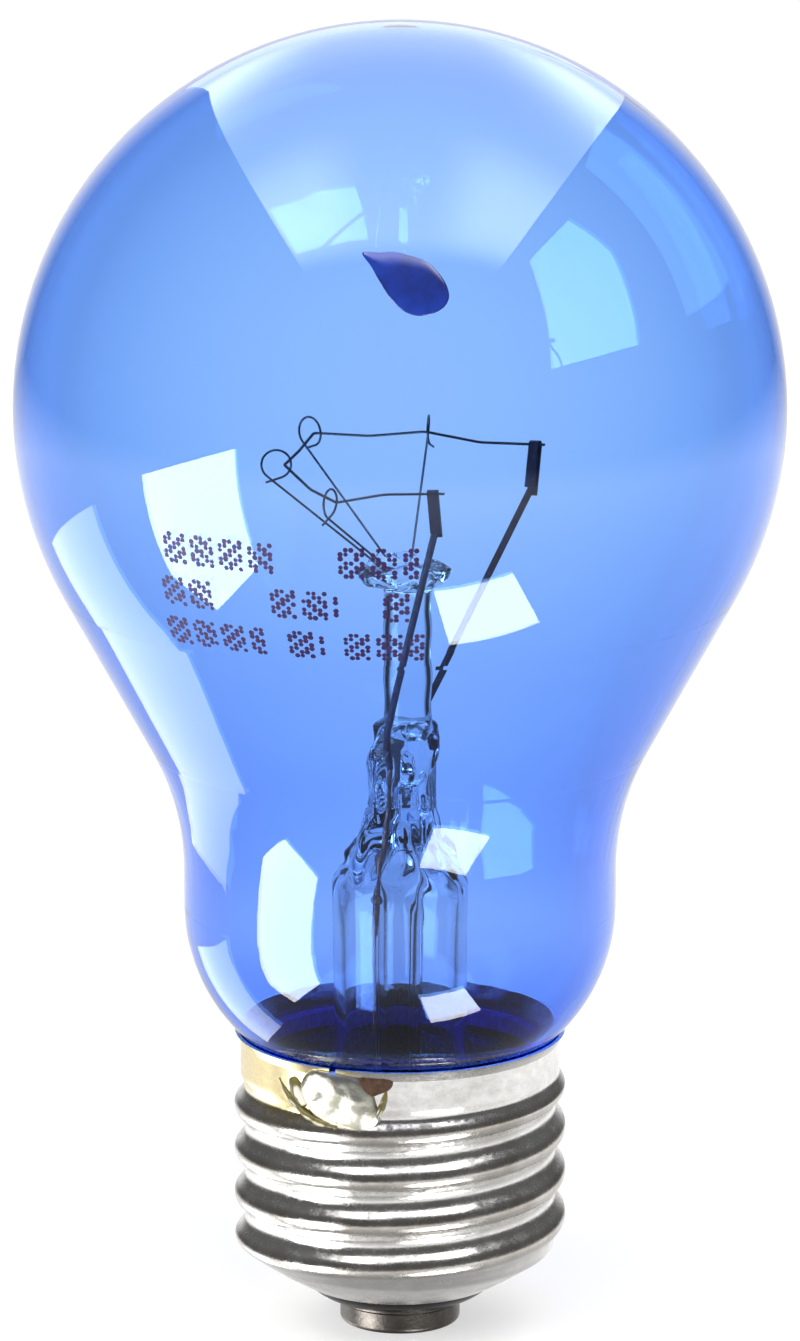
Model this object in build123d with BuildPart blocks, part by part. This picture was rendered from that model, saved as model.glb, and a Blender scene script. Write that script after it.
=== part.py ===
from build123d import *
from math import acos, asin, atan2, cos, degrees, hypot, radians, sin, sqrt, tan
import os

os.makedirs("parts", exist_ok=True)

# Origin: middle of the centre contact's underside. +Z runs up the bulb's axis, -Y is the front.

# Blown bulb, outside sizes
ball_r = 30.1
taper_angle = 28.6
waist_arc_r = 21.0
neck_r = 17.0
neck_height = 2.85
shoulder_r = 14.0
throat_fillet_r = 1.5
throat_sink = 1.72644
bulb_wall = 0.7

# Screw cap, pressed from sheet
sheet = 0.3
rim_z = 24.0
lip_height = 0.8
lip_flare = 0.45
collar_r = 12.6
crest_proud = 0.5
root_depth = 0.35
thread_pitch = 3.63
crest_z = 8.785
thread_foot_z = 5.2
thread_run_in = 2.2
thread_end_z = 21.0
thread_run_out = 1.8
mouth_r = 7.8
mouth_z = 3.5
cone_height = 3.9
cement_gap = 0.9
notch_w = 0.55
notch_depth = 1.7
sections_per_turn = 24
section_points = 60

# Centre contact, insulator, solder and cement
contact_r = 4.75
contact_height = 2.0
contact_sheet = 0.4
contact_edge_r = 0.45
flange_r = 5.0
flange_height = 0.4
eyelet_r = 1.1
solder_well_r = 2.7
solder_well_depth = 0.55
insulator_hole_r = 1.6
insulator_seat_height = 1.9
insulator_bulge = 0.25
insulator_floor_z = 3.4
solder_azimuth = 246.0
solder_z = 21.3
solder_length = 6.6
solder_width = 4.2
solder_proud = 0.95
solder_tilt = 24.0
solder_recess = 0.05
solder_meniscus = 0.25
solder_head = 0.3

# Glass mount: flare tube, press, exhaust tube, arbor rod and button
stem_r = 5.3
stem_wall = 0.9
stem_shoulder_z = 36.0
cavity_height = 3.2
flare_top_z = 24.5
flare_rim_z = 16.9
press_azimuth = 60.0
press_sections = ((2.0, 5.1, 4.2), (4.2, 4.7, 2.7), (7.5, 4.45, 2.1), (10.5, 4.5, 2.3), (12.7, 3.6, 2.2))
exhaust_r = 1.8
exhaust_bore_r = 1.1
exhaust_tip_z = 8.6
exhaust_top_z = 41.5
blow_hole_z = 44.4
blow_hole_r = 0.85
arbor_x = 0.6
arbor_r = 1.87
arbor_seat = 1.2
button_z = 61.0
button_r = 3.3
button_height = 1.7
button_edge_r = 0.7
button_lobe_r = 0.95
button_lobe_place_r = 2.65
button_blend_r = 0.6

# Wires
lead_d = 0.55
lead_place_r = 3.0
near_lead_azimuth = 250.0
far_lead_azimuth = 57.0
lead_rise = 0.3
lead_bend_r = 3.0
seal_wire_d = 0.45
seal_joint_z = 46.0
seal_straight = 1.5
weld_bead_r = 0.42
upper_weld_z = 35.5
lower_weld_z = 32.4
outer_lead_d = 0.3
outer_lead_place_r = 3.2
near_weld_azimuth = 233.0
outer_lead_bend_r = 1.0
side_lead_gap = 0.08
strip_w = 0.85
strip_t = 0.2
hook_length = 4.0
hook_return = 3.4
filament_d = 0.24
filament_tail = 0.9
filament_bend_r = 0.5
filament_sag_r = 6.0
support_d = 0.18
support_seat_r = 1.7
loop_r = 1.15
loop_clearance = 0.3
loop_turns = (100.0, 200.0, 300.0)
loop_step = 0.12
loop_tail = 1.3

# Filament stations about the arbor, from the far clamp to the near one: azimuth, radius, height
far_clamp = (24.2, 10.97, 70.1)
hooks = ((82.3, 10.4, 69.8), (132.4, 10.95, 70.2), (180.0, 9.6, 69.5), (239.4, 10.8, 68.7))
near_clamp = (280.6, 10.4, 69.6)
span_sags = (0.35, 0.3, 0.15, 0.45, -0.3)

# Sizes that follow from the ones above
taper = radians(taper_angle)
waist_centre_r = neck_r + waist_arc_r
taper_reach = waist_centre_r - (ball_r + waist_arc_r) * cos(taper)
crest_r = collar_r + crest_proud
root_r = collar_r - root_depth
throat_r = collar_r - sheet - cement_gap
shoulder_centre_r = neck_r - shoulder_r
fillet_centre_r = throat_r + throat_fillet_r
shoulder_turn = degrees(acos((fillet_centre_r - shoulder_centre_r) / (shoulder_r + throat_fillet_r)))
fillet_z = rim_z - throat_sink
neck_foot_z = fillet_z + (shoulder_r + throat_fillet_r) * sin(radians(shoulder_turn))
waist_z = neck_foot_z + neck_height
ball_z = waist_z + (ball_r + waist_arc_r) * sin(taper) - taper_reach / tan(taper)
throat_bore_r = throat_r - bulb_wall
flare_reach = throat_bore_r - stem_r
flare_drop = flare_top_z - flare_rim_z
flare_arc_r = (flare_reach**2 + flare_drop**2) / (2 * flare_reach)
flare_turn = degrees(asin(flare_drop / flare_arc_r))
flare_inner_drop = sqrt((flare_arc_r + stem_wall) ** 2 - (flare_arc_r - flare_reach) ** 2)
flare_inner_turn = degrees(asin(flare_inner_drop / (flare_arc_r + stem_wall)))
throat_foot_z = flare_top_z - flare_inner_drop
knuckle_depth = crest_r - root_r
knuckle_r = ((thread_pitch / 4) ** 2 + (knuckle_depth / 2) ** 2) / knuckle_depth
collar_top_z = rim_z - lip_height
stem_bore_r = stem_r - stem_wall
press_top_z = stem_shoulder_z + press_sections[-1][0]
outer_lead_r = outer_lead_d / 2
side_lead_r = throat_r + side_lead_gap + outer_lead_r


def half_plane(azimuth, x=0.0):
    """Upright plane through (x, 0): local x runs outwards at the azimuth, local y is the height."""
    across = (cos(radians(azimuth)), sin(radians(azimuth)), 0)
    return Plane(origin=(x, 0, 0), x_dir=across, z_dir=(across[1], -across[0], 0))


def place(azimuth, radius, height, x=0.0):
    """Point at a radius and height about an upright axis through (x, 0)."""
    return Vector(x + radius * cos(radians(azimuth)), radius * sin(radians(azimuth)), height)


def about_arbor(station):
    return place(*station, x=arbor_x)


def fade(value, start, length):
    """0 at the start, 1 after the length, with a smooth step between."""
    share = min(1, max(0, (value - start) / length))
    return share * share * (3 - 2 * share)


def write(piece, name):
    piece.part.label = name
    export_step(piece.part, f"parts/{name}.step")


def round_wire(points, diameter, bend_r, beads=()):
    """Round wire along straight runs with rounded bends, with a weld bead at each given point."""
    with BuildPart() as piece:
        with BuildLine() as route:
            FilletPolyline(*points, radius=bend_r)
        with BuildSketch(Plane(origin=route.line @ 0, z_dir=route.line % 0)):
            Circle(diameter / 2)
        sweep(path=route.line)
        if beads:
            with Locations(*beads):
                Sphere(weld_bead_r)
    return piece


# Glass envelope: ball, cone, waist, neck and shoulder in one blown wall, open at the throat's foot
def bulb_outline(inset):
    """Half outline of the wall, from the crown to the throat's foot, inset from the outside."""
    CenterArc((0, ball_z), ball_r - inset, -taper_angle, 90 + taper_angle)
    waist = CenterArc((waist_centre_r, waist_z), waist_arc_r + inset, 180 - taper_angle, taper_angle)
    cone_top = ((ball_r - inset) * cos(taper), ball_z - (ball_r - inset) * sin(taper))
    Line(cone_top, waist @ 0)
    Line(waist @ 1, (neck_r - inset, neck_foot_z))
    CenterArc((shoulder_centre_r, neck_foot_z), shoulder_r - inset, -shoulder_turn, shoulder_turn)
    fillet_r = throat_fillet_r + inset
    CenterArc((fillet_centre_r, fillet_z), fillet_r, 180 - shoulder_turn, shoulder_turn)
    Line((throat_r - inset, fillet_z), (throat_r - inset, throat_foot_z))
    Line((throat_r - inset, throat_foot_z), (0, throat_foot_z))
    Line((0, throat_foot_z), (0, ball_z + ball_r - inset))


with BuildPart() as envelope:
    with BuildSketch(Plane.XZ):
        for inset, mode in ((0, Mode.ADD), (bulb_wall, Mode.SUBTRACT)):
            with BuildLine():
                bulb_outline(inset)
            make_face(mode=mode)
    revolve(axis=Axis.Z)


# Screw shell: one pressed sheet with a cone, a right-hand knuckle thread, a collar and a flared lip
def knuckle_radius(height, azimuth):
    """Outer radius of the thread, made of round crests and round roots of one arc."""
    turns = (height - crest_z) / thread_pitch - azimuth / 360
    from_crest = abs(turns - round(turns)) * thread_pitch
    if from_crest < thread_pitch / 4:
        return crest_r - knuckle_r + sqrt(knuckle_r**2 - from_crest**2)
    from_root = thread_pitch / 2 - from_crest
    return root_r + knuckle_r - sqrt(knuckle_r**2 - from_root**2)


def shell_radius(height, azimuth):
    """Outer radius of the shell: the thread runs out into the cone below and the collar above."""
    up_cone = min(1, max(0, (height - mouth_z) / cone_height))
    cone = mouth_r + (root_r - mouth_r) * sin(radians(90 * up_cone))
    threaded = fade(height, thread_foot_z, thread_run_in)
    plain = fade(height, thread_end_z - thread_run_out, thread_run_out)
    radius = cone + (knuckle_radius(height, azimuth) - cone) * threaded
    return radius + (collar_r - radius) * plain


def sheet_line(azimuth, depth):
    """Points from the mouth up to the collar's top, at a depth into the sheet along its normal."""
    rise = (collar_top_z - mouth_z) / section_points
    nudge = rise / section_points
    points = []
    for step in range(section_points + 1):
        height = mouth_z + rise * step
        radius = shell_radius(height, azimuth)
        slope = (shell_radius(height + nudge, azimuth) - radius) / nudge
        steepness = hypot(1, slope)
        points.append(Vector(radius - depth / steepness, height + depth * slope / steepness))
    return points


with BuildPart() as screw_shell:
    even_steps = [step / section_points for step in range(section_points + 1)]
    lip_r = collar_r + lip_flare
    sections = []
    for step in range(sections_per_turn):
        azimuth = 360 * step / sections_per_turn
        outside = sheet_line(azimuth, 0)
        inside = sheet_line(azimuth, sheet)
        with BuildSketch(half_plane(azimuth), mode=Mode.PRIVATE) as section:
            with BuildLine():
                add(Edge.make_spline(outside, parameters=even_steps))
                add(Edge.make_spline(inside[::-1], parameters=even_steps))
                Polyline(outside[-1], (lip_r, rim_z), (lip_r - sheet, rim_z), inside[-1])
                Line(inside[0], outside[0])
            make_face()
        sections.append(section.sketch)
    loft([*sections, sections[0]])
    with BuildSketch(half_plane(solder_azimuth)):
        with Locations((collar_r, rim_z)):
            Rectangle(4 * lip_flare, 2 * notch_depth)
    extrude(amount=notch_w / 2, both=True, mode=Mode.SUBTRACT)


# Centre contact: a shallow brass cup with a flange, a solder well and an eyelet
with BuildPart() as centre_contact:
    well_top_r = solder_well_r - solder_well_depth
    cup_r = contact_r - contact_sheet
    flange_z = contact_height - flange_height
    with BuildSketch(Plane.XZ):
        with BuildLine():
            Polyline(
                (eyelet_r, solder_well_depth),
                (well_top_r, solder_well_depth),
                (solder_well_r, 0),
                (contact_r - contact_edge_r, 0),
            )
            CenterArc((contact_r - contact_edge_r, contact_edge_r), contact_edge_r, -90, 90)
            Polyline(
                (contact_r, contact_edge_r),
                (contact_r, flange_z),
                (flange_r, flange_z + flange_height / 2),
                (flange_r, contact_height),
                (cup_r, contact_height),
                (cup_r, contact_sheet),
                (solder_well_r, contact_sheet),
                (well_top_r, solder_well_depth + contact_sheet),
                (eyelet_r, solder_well_depth + contact_sheet),
                (eyelet_r, solder_well_depth),
            )
        make_face()
    revolve(axis=Axis.Z)


# Insulator: black glass moulded into the shell's cone and over the contact cup
with BuildPart() as insulator:
    seat = [point for point in sheet_line(0, sheet / 2) if point.Y < mouth_z + insulator_seat_height]
    cup_middle_r = contact_r - contact_sheet / 2
    bulge_middle = ((flange_r + mouth_r) / 2, (contact_height + mouth_z) / 2 - insulator_bulge)
    dish_middle = ((insulator_hole_r + seat[-1].X) / 2, insulator_floor_z + insulator_bulge)
    with BuildSketch(Plane.XZ):
        with BuildLine():
            ThreePointArc((flange_r, contact_height), bulge_middle, seat[0])
            Spline(*seat)
            ThreePointArc(seat[-1], dish_middle, (insulator_hole_r, insulator_floor_z))
            Polyline(
                (insulator_hole_r, insulator_floor_z),
                (insulator_hole_r, solder_well_depth + contact_sheet / 2),
                (well_top_r, solder_well_depth + contact_sheet / 2),
                (solder_well_r, contact_sheet / 2),
                (cup_middle_r, contact_sheet / 2),
                (cup_middle_r, contact_height),
                (flange_r, contact_height),
            )
        make_face()
    revolve(axis=Axis.Z)
    add(centre_contact.part, mode=Mode.SUBTRACT)
    add(screw_shell.part, mode=Mode.SUBTRACT)


# Lead wires outside the vacuum: thin copper from the welds in the flare tube to the cap
near_weld = place(near_weld_azimuth, outer_lead_place_r, lower_weld_z)
far_weld = place(far_lead_azimuth, outer_lead_place_r, lower_weld_z)
lead_turn_z = throat_foot_z - 2 * outer_lead_bend_r
outer_lead_side = round_wire(
    (
        near_weld,
        place(near_weld_azimuth, outer_lead_place_r, lead_turn_z),
        place(solder_azimuth, side_lead_r, lead_turn_z),
        place(solder_azimuth, side_lead_r, fillet_z),
        place(solder_azimuth, collar_r + outer_lead_d, rim_z - lip_height),
        place(solder_azimuth, collar_r + outer_lead_d, solder_z),
    ),
    outer_lead_d,
    (outer_lead_bend_r, outer_lead_bend_r, outer_lead_d, outer_lead_d),
)
outer_lead_centre = round_wire(
    (
        far_weld,
        place(far_lead_azimuth, outer_lead_place_r, exhaust_tip_z),
        (0, 0, insulator_floor_z + outer_lead_bend_r),
        (0, 0, solder_well_depth + contact_sheet),
    ),
    outer_lead_d,
    outer_lead_bend_r,
)


# Solder: the centre plug fills the well and the eyelet, the side blob holds the wire on the collar
with BuildPart() as centre_solder:
    plug_edge = (solder_well_r - solder_meniscus, solder_meniscus)
    plug_top_z = solder_well_depth + contact_sheet + solder_head
    with BuildSketch(Plane.XZ):
        with BuildLine():
            ThreePointArc((0, solder_recess), (plug_edge[0] / 2, 2 * solder_recess), plug_edge)
            Polyline(
                plug_edge,
                (well_top_r, solder_well_depth),
                (eyelet_r, solder_well_depth),
                (eyelet_r, plug_top_z),
                (0, plug_top_z),
                (0, solder_recess),
            )
        make_face()
    revolve(axis=Axis.Z)
    add(outer_lead_centre.part, mode=Mode.SUBTRACT)

with BuildPart() as side_solder:
    blob_r = ((solder_width / 2) ** 2 + solder_proud**2) / (2 * solder_proud)
    blob_half_length = blob_r * solder_length / solder_width
    outward = place(solder_azimuth, 1, 0)
    rightward = place(solder_azimuth + 90, 1, 0)
    along = rightward * cos(radians(solder_tilt)) - Vector(0, 0, sin(radians(solder_tilt)))
    blob_middle = place(solder_azimuth, collar_r + solder_proud - blob_r, solder_z)
    with BuildSketch(Plane(origin=blob_middle, x_dir=along, z_dir=outward)):
        with BuildLine():
            EllipticalCenterArc((0, 0), blob_half_length, blob_r, arc_size=180)
            Line((-blob_half_length, 0), (blob_half_length, 0))
        make_face()
    revolve(axis=Axis(blob_middle, along))
    with BuildSketch():
        Circle(collar_r - sheet / 2)
    extrude(amount=2 * rim_z, mode=Mode.SUBTRACT)
    add(screw_shell.part, mode=Mode.SUBTRACT)
    add(outer_lead_side.part, mode=Mode.SUBTRACT)
    outer_lump = side_solder.solids().sort_by(SortBy.VOLUME)[-1]
    add(outer_lump, mode=Mode.REPLACE)


# Basing cement: the ring that holds the glass throat in the collar
with BuildPart() as basing_cement:
    with BuildSketch(Plane.XY.offset(thread_end_z)):
        Circle(collar_r - sheet / 2)
        Circle(throat_r, mode=Mode.SUBTRACT)
    extrude(amount=fillet_z - thread_end_z)
    add(screw_shell.part, mode=Mode.SUBTRACT)
    add(outer_lead_side.part, mode=Mode.SUBTRACT)


# Filament: a coil stretched over the four hooks between the two clamps, with a short tail past each
clamp_points = (about_arbor(far_clamp), about_arbor(near_clamp))
stations = [clamp_points[0], *[about_arbor(hook) for hook in hooks], clamp_points[1]]
filament_route = []
for start, end, sag in zip(stations, stations[1:], span_sags):
    filament_route += [start, (start + end) / 2 - Vector(0, 0, sag)]
filament_route.append(stations[-1])
far_run = (filament_route[1] - filament_route[0]).normalized()
near_run = (filament_route[-2] - filament_route[-1]).normalized()
filament_route[0] -= far_run * filament_tail
filament_route[-1] -= near_run * filament_tail
filament_radii = [filament_sag_r, *[filament_bend_r, filament_sag_r] * len(hooks)]
filament = round_wire(filament_route, filament_d, filament_radii)


# Inner leads: round wire from the press, flattened at the end and folded over the filament's tail
def inner_lead(azimuth, clamp_point, filament_run):
    foot = place(azimuth, lead_place_r, seal_joint_z)
    exit_point = place(azimuth, lead_place_r, press_top_z + lead_rise)
    lead_run = clamp_point - exit_point
    upward = (lead_run - filament_run * lead_run.dot(filament_run)).normalized()
    across = upward.cross(filament_run)
    fold_in_r = filament_d / 2
    fold_out_r = fold_in_r + strip_t
    lead_end = clamp_point - upward * (hook_length - strip_w) - across * (fold_in_r + strip_t / 2)
    with BuildPart() as lead:
        with BuildLine() as route:
            FilletPolyline(foot, exit_point, lead_end, radius=lead_bend_r)
        with BuildSketch(Plane(origin=route.line @ 0, z_dir=route.line % 0)):
            Circle(lead_d / 2)
        sweep(path=route.line)
        with BuildSketch(Plane(origin=clamp_point, x_dir=across, z_dir=filament_run)):
            with BuildLine():
                CenterArc((0, 0), fold_out_r, 0, 180)
                long_leg = Line((-fold_out_r, 0), (-fold_out_r, -hook_length))
                Polyline(long_leg @ 1, (-fold_in_r, -hook_length), (-fold_in_r, 0))
                CenterArc((0, 0), fold_in_r, 0, 180)
                short_leg = Line((fold_in_r, 0), (fold_in_r, -hook_return))
                Polyline(short_leg @ 1, (fold_out_r, -hook_return), (fold_out_r, 0))
            make_face()
        extrude(amount=strip_w / 2, both=True)
    return lead


inner_lead_far = inner_lead(far_lead_azimuth, clamp_points[0], far_run)
inner_lead_near = inner_lead(near_lead_azimuth, clamp_points[1], near_run)


# Seal wires: the lengths pinched in the press, welded to the leads above and the copper below
def seal_wire(lead_azimuth, weld):
    joint = place(lead_azimuth, lead_place_r, seal_joint_z)
    bend = joint - Vector(0, 0, seal_straight)
    upper_weld = bend + (weld - bend) * ((bend.Z - upper_weld_z) / (bend.Z - weld.Z))
    return round_wire((joint, bend, weld), seal_wire_d, lead_bend_r, (upper_weld,))


seal_wire_near = seal_wire(near_lead_azimuth, near_weld)
seal_wire_far = seal_wire(far_lead_azimuth, far_weld)


# Filament supports: fine wires from the button, each ending in an open pigtail loop
def support_wire(hook):
    station = about_arbor(hook)
    azimuth, radius, height = hook
    plane = half_plane(azimuth, arbor_x)
    loop_middle_r = radius + loop_r - (support_d + filament_d) / 2 - loop_clearance
    run = loop_middle_r - support_seat_r
    rise = height - button_z
    reach = hypot(run, rise)
    lean = degrees(atan2(rise, run) - asin(loop_r / reach))
    leg_length = sqrt(reach**2 - loop_r**2)

    def on_loop(turn, step):
        angle = radians(lean - 90 + turn)
        across = loop_middle_r + loop_r * cos(angle)
        return plane.from_local_coords(Vector(across, height + loop_r * sin(angle), step))

    with BuildPart() as support:
        with BuildLine() as route:
            leg = Line(plane.from_local_coords(Vector(support_seat_r, button_z)), on_loop(0, 0))
            last = leg
            for count, turn in enumerate(loop_turns, start=1):
                last = TangentArc(last @ 1, on_loop(turn, count * loop_step), tangent=last % 1)
            Line(last @ 1, last @ 1 + last % 1 * loop_tail)
        with BuildSketch(Plane(origin=leg @ 0, z_dir=leg % 0)):
            Circle(support_d / 2)
        sweep(path=route.line)
    return support


supports = [support_wire(hook) for hook in hooks]


# Arbor rod: solid glass, flattened into a button that holds the supports
with BuildPart() as arbor_rod:
    with BuildSketch(Plane.XY.offset(press_top_z - arbor_seat)):
        with Locations((arbor_x, 0)):
            Circle(arbor_r)
    extrude(amount=button_z - press_top_z + arbor_seat)
    with BuildSketch(Plane.XY.offset(button_z - button_height / 2)) as button:
        with Locations((arbor_x, 0)):
            Circle(button_r)
        with Locations(*[place(hook[0], button_lobe_place_r, 0, arbor_x) for hook in hooks]):
            Circle(button_lobe_r)
        fillet(button.vertices(), button_blend_r)
    extrude(amount=button_height)
    flats = arbor_rod.faces().filter_by(Axis.Z).sort_by(Axis.Z)
    fillet([*flats[-1].edges(), *flats[-2].outer_wire().edges()], button_edge_r)
    for support in supports:
        add(support.part, mode=Mode.SUBTRACT)


# Exhaust tube: melted shut at the tip, open into the press at the top
with BuildPart() as exhaust_tube:
    exhaust_wall = exhaust_r - exhaust_bore_r
    for radius, foot_z, mode in (
        (exhaust_r, exhaust_tip_z, Mode.ADD),
        (exhaust_bore_r, exhaust_tip_z + exhaust_wall, Mode.SUBTRACT),
    ):
        with BuildSketch(Plane.XY.offset(foot_z + radius)):
            Circle(radius)
        extrude(amount=exhaust_top_z - foot_z - radius, mode=mode)
        with Locations((0, 0, foot_z + radius)):
            Sphere(radius, mode=mode)


# Stem: flare tube drawn out to meet the throat, and pinched flat into the press at the top
with BuildPart() as stem:
    with BuildSketch(Plane.XZ):
        with BuildLine():
            Line((stem_r, stem_shoulder_z), (stem_r, flare_top_z))
            outer = CenterArc((stem_r + flare_arc_r, flare_top_z), flare_arc_r, 180, flare_turn)
            inner_arc_r = flare_arc_r + stem_wall
            inner = CenterArc((stem_r + flare_arc_r, flare_top_z), inner_arc_r, 180, flare_inner_turn)
            Line(outer @ 1, inner @ 1)
            Polyline(inner @ 0, (stem_bore_r, stem_shoulder_z), (stem_r, stem_shoulder_z))
        make_face()
    revolve(axis=Axis.Z)
    press_plane = Plane.XY.offset(stem_shoulder_z).rotated((0, 0, press_azimuth))
    with BuildSketch(press_plane):
        Circle(stem_r)
    for height, half_length, half_width in press_sections:
        with BuildSketch(press_plane.offset(height)):
            Ellipse(half_length, half_width)
    loft()
    with BuildSketch(Plane.XZ):
        with BuildLine():
            Polyline(
                (0, stem_shoulder_z),
                (stem_bore_r, stem_shoulder_z),
                (exhaust_r, stem_shoulder_z + cavity_height),
                (exhaust_r, exhaust_top_z),
                (exhaust_bore_r, exhaust_top_z),
                (exhaust_bore_r, blow_hole_z),
                (0, blow_hole_z),
                (0, stem_shoulder_z),
            )
        make_face()
    revolve(axis=Axis.Z, mode=Mode.SUBTRACT)
    with BuildSketch(half_plane(press_azimuth)):
        with Locations((0, blow_hole_z)):
            Circle(blow_hole_r)
    extrude(amount=stem_r, mode=Mode.SUBTRACT)
    for part in (arbor_rod, inner_lead_near, inner_lead_far, seal_wire_near, seal_wire_far):
        add(part.part, mode=Mode.SUBTRACT)


pieces = {
    "envelope": envelope,
    "stem": stem,
    "exhaust_tube": exhaust_tube,
    "arbor_rod": arbor_rod,
    "filament": filament,
    "inner_lead_near": inner_lead_near,
    "inner_lead_far": inner_lead_far,
    "seal_wire_near": seal_wire_near,
    "seal_wire_far": seal_wire_far,
    "outer_lead_side": outer_lead_side,
    "outer_lead_centre": outer_lead_centre,
    "screw_shell": screw_shell,
    "insulator": insulator,
    "centre_contact": centre_contact,
    "centre_solder": centre_solder,
    "side_solder": side_solder,
    "basing_cement": basing_cement,
}
for number, support in enumerate(supports, start=1):
    pieces[f"support_wire_{number}"] = support
for name, piece in pieces.items():
    write(piece, name)
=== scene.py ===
import math
import random
from operator import mul

import bpy
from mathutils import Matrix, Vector, noise


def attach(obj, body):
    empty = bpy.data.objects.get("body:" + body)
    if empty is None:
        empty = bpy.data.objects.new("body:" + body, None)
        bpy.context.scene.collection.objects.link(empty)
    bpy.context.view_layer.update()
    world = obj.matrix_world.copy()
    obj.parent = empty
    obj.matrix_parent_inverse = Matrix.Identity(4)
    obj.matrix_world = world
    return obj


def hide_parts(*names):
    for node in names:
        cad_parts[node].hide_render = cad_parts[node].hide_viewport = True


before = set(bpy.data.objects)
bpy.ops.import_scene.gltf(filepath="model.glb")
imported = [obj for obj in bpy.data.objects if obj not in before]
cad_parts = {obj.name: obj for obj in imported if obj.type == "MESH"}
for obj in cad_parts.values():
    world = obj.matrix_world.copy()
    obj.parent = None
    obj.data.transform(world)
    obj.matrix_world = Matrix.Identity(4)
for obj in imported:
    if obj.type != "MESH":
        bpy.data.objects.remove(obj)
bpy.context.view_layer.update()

# Without a seed of its own, noise_vector takes its offsets from the clock
noise.seed_set(2)

# Sizes repeated from the CAD source, in millimetres
MM = 0.001
BALL_R = 30.1
BALL_Z = 74.1
COLLAR_R = 12.6
STEM_R = 5.3
STEM_BORE_R = 4.4
STEM_SHOULDER_Z = 36.0
FLARE_TOP_Z = 24.5
FLARE_RIM_Z = 16.9
THROAT_BORE_R = 10.7
PRESS_AZIMUTH = 60.0
# Height over the shoulder, half length and half width
PRESS_SECTIONS = (
    (0.0, 5.3, 5.3), (2.0, 5.1, 4.2), (4.2, 4.7, 2.7), (7.5, 4.45, 2.1), (10.5, 4.5, 2.3), (12.7, 3.6, 2.2),
)
ARBOR_X = 0.6
ARBOR_R = 1.87
FILAMENT_D = 0.24
FILAMENT_TAIL = 0.9
FILAMENT_BEND_R = 0.5
FILAMENT_SAG_R = 6.0
# Stations of the filament: azimuth about the rod, radius and height
FAR_CLAMP = (24.2, 10.97, 70.1)
HOOKS = ((82.3, 10.4, 69.8), (132.4, 10.95, 70.2), (180.0, 9.6, 69.5), (239.4, 10.8, 68.7))
NEAR_CLAMP = (280.6, 10.4, 69.6)
SPAN_SAGS = (0.35, 0.3, 0.15, 0.45, -0.3)


# Camera and studio

def make_camera():
    """Camera at the photo's viewing angle, aimed just above the object's middle."""
    camera = bpy.data.objects.new("camera", bpy.data.cameras.new("camera"))
    bpy.context.scene.collection.objects.link(camera)
    elevation = math.radians(14.3)
    distance = 0.788
    aim_z = 0.052
    camera.location = (0, -distance * math.cos(elevation), aim_z + distance * math.sin(elevation))
    aim = Vector((0, 0, aim_z + 0.001))
    camera.rotation_mode = "QUATERNION"
    camera.rotation_quaternion = (aim - camera.location).to_track_quat("-Z", "Y")
    camera.data.lens = 270.4
    camera.data.clip_start = 0.01
    bpy.context.scene.camera = camera


make_camera()
bpy.context.scene.view_settings.view_transform = "Standard"


class Shader:
    """A node tree with short calls for adding nodes and joining them."""

    def __init__(self, owner):
        owner.use_nodes = True
        self.owner = owner
        self.tree = owner.node_tree
        self.tree.nodes.clear()

    def add(self, kind, inputs=(), **attributes):
        node = self.tree.nodes.new("ShaderNode" + kind)
        for name, value in attributes.items():
            setattr(node, name, value)
        for name, value in dict(inputs).items():
            if isinstance(value, bpy.types.NodeSocket):
                self.tree.links.new(value, node.inputs[name])
            else:
                node.inputs[name].default_value = value
        return node

    def math(self, operation, first, second=0.0, clamp=False):
        return self.add("Math", {0: first, 1: second}, operation=operation, use_clamp=clamp).outputs[0]

    def mix(self, share, first, second):
        node = self.add("Mix", data_type="RGBA", clamp_factor=True)
        for name, value in ((0, share), (6, first), (7, second)):
            if isinstance(value, bpy.types.NodeSocket):
                self.tree.links.new(value, node.inputs[name])
            else:
                node.inputs[name].default_value = value
        return node.outputs[2]

    def ramp(self, value, *stops):
        """Colour or grey that changes with a value: stops are (place, grey or colour)."""
        node = self.add("ValToRGB", {0: value})
        points = node.color_ramp.elements
        while len(points) < len(stops):
            points.new(0.5)
        for point, (place, shade) in zip(points, stops):
            point.position = place
            point.color = (shade, shade, shade, 1) if isinstance(shade, (int, float)) else shade
        return node.outputs[0]

    def noise(self, scale, detail=3.0, roughness=0.5, vector=None):
        where = vector if vector is not None else self.place()
        inputs = {"Vector": where, "Scale": scale, "Detail": detail, "Roughness": roughness}
        return self.add("TexNoise", inputs).outputs[0]

    def place(self):
        return self.add("TexCoord").outputs["Object"]

    def stretched(self, x, y, z):
        return self.add("VectorMath", {0: self.place(), 1: (x, y, z)}, operation="MULTIPLY").outputs[0]

    def bump(self, height, distance, strength=1.0):
        return self.add("Bump", {"Height": height, "Distance": distance, "Strength": strength}).outputs[0]

    def mirrored(self, path):
        """1 on a ray that has been mirrored at least once."""
        return self.math("GREATER_THAN", path.outputs["Glossy Depth"], 0.5)

    def passing(self, path):
        """1 on a ray straight from the camera or through glass."""
        return self.math("MAXIMUM", path.outputs["Is Camera Ray"], path.outputs["Is Transmission Ray"])

    def output(self, surface, volume=None, kind="OutputMaterial"):
        node = self.add(kind, {"Surface": surface})
        if volume is not None:
            self.tree.links.new(volume, node.inputs["Volume"])
        return self.owner


def backdrop_share(shader, path, ahead):
    """1 where a ray sees the white backdrop. What the mount's glass bends far aside sees the dim room."""
    outer_faces = 4.5
    straight = shader.math("LESS_THAN", path.outputs["Transmission Depth"], outer_faces)
    bent = shader.ramp(ahead, (0.48, 0.7), (0.58, 0.03), (0.77, 0.03), (0.86, 1.0))
    return shader.math("MAXIMUM", straight, bent)


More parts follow.
